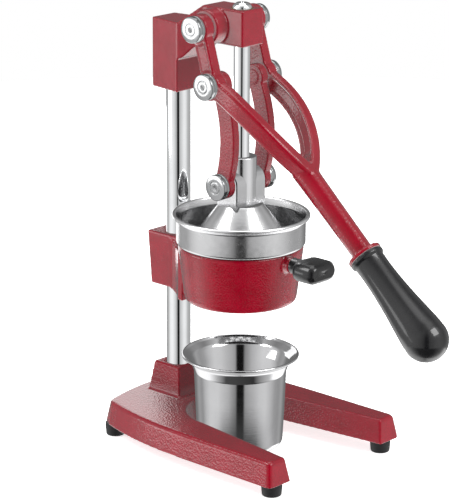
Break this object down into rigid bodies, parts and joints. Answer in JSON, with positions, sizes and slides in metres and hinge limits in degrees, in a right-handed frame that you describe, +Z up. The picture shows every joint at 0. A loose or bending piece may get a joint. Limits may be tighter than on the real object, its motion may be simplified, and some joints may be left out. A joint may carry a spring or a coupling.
{
  "type": "citrus press juicer",
  "caption": "Lever citrus press: cast two-legged stand with a column, forked lever and links driving a sliding press cup, strainer bowl in a funnel ring, and a loose juice cup.",
  "frame": {"origin": "on the table, under the middle of the whole machine, at the bottom middle of its box", "axes": "+Z up along the column, -Y towards the user and the lever's grip, +X to the right across the legs"},
  "size_m": [0.1744, 0.3455, 0.4049],
  "materials": {
    "red_enamel": "glossy red hammertone enamel on castings",
    "chrome_plate": "bright chrome plate",
    "cast_alloy": "polished cast alloy",
    "stainless_sheet": "polished and finely brushed stainless sheet",
    "bright_steel": "bright zinc-plated steel",
    "black_grip": "glossy black moulded plastic",
    "foot_rubber": "matte black rubber",
    "bush_bronze": "plain machined bronze"
  },
  "bodies": {
    "stand": {"base_casting": "red_enamel", "rubber_feet": "foot_rubber", "foot_screws": "bright_steel", "column": "chrome_plate", "column_bolt": "bright_steel", "head_casting": "red_enamel", "head_set_screws": "bright_steel", "guide_bush": "bush_bronze", "head_pivot_shaft": "bright_steel", "head_pivot_caps": "chrome_plate", "bowl_bracket": "red_enamel", "bracket_set_screws": "bright_steel", "front_handle_grip": "black_grip", "front_handle_screw": "bright_steel"},
    "press": {"guide_rod": "chrome_plate", "rod_stop_cap": "chrome_plate", "press_hub": "cast_alloy", "hub_set_screw": "bright_steel", "press_cup": "cast_alloy", "press_cup_bolt": "bright_steel"},
    "lever": {"lever_casting": "red_enamel", "lever_grip": "black_grip", "grip_stud": "bright_steel", "elbow_pins": "bright_steel", "elbow_caps": "chrome_plate"},
    "left_link": {"link_left": "red_enamel", "lower_pin_left": "bright_steel", "lower_cap_left": "chrome_plate"},
    "right_link": {"link_right": "red_enamel", "lower_pin_right": "bright_steel", "lower_cap_right": "chrome_plate"},
    "strainer": {"strainer_bowl": "stainless_sheet", "strainer_cone": "stainless_sheet"},
    "cup": {"juice_cup": "stainless_sheet"}
  },
  "joints": [
    {"name": "lever_pivot", "type": "hinge", "parent": "stand", "child": "lever", "pos_m": [0, 0.07618, 0.3841], "axis": [-1, 0, 0], "range_deg": [0, 100]},
    {"name": "press_slide", "type": "slide", "parent": "stand", "child": "press", "axis": [0, 0, 1], "range_m": [0, 0.0748]},
    {"name": "left_elbow", "type": "hinge", "parent": "lever", "child": "left_link", "pos_m": [0, 0.06158, 0.3358], "axis": [-1, 0, 0], "range_deg": [-119.6, 0]},
    {"name": "right_elbow", "type": "hinge", "parent": "lever", "child": "right_link", "pos_m": [0, 0.06158, 0.3358], "axis": [-1, 0, 0], "range_deg": [-119.6, 0]},
    {"name": "strainer_turn", "type": "hinge", "parent": "stand", "child": "strainer", "pos_m": [0, 0.05708, 0.189], "axis": [0, 0, 1], "continuous": true},
    {"name": "cup_slide", "type": "slide", "parent": "stand", "child": "cup", "axis": [0, -1, 0], "range_m": [0, 0.24]}
  ],
  "couplings": [
    {"joint": "press_slide", "follows": "lever_pivot", "m_per_rad": 0.042834},
    {"joint": "left_elbow", "follows": "lever_pivot", "ratio": -1.1956},
    {"joint": "right_elbow", "follows": "lever_pivot", "ratio": -1.1956}
  ]
}
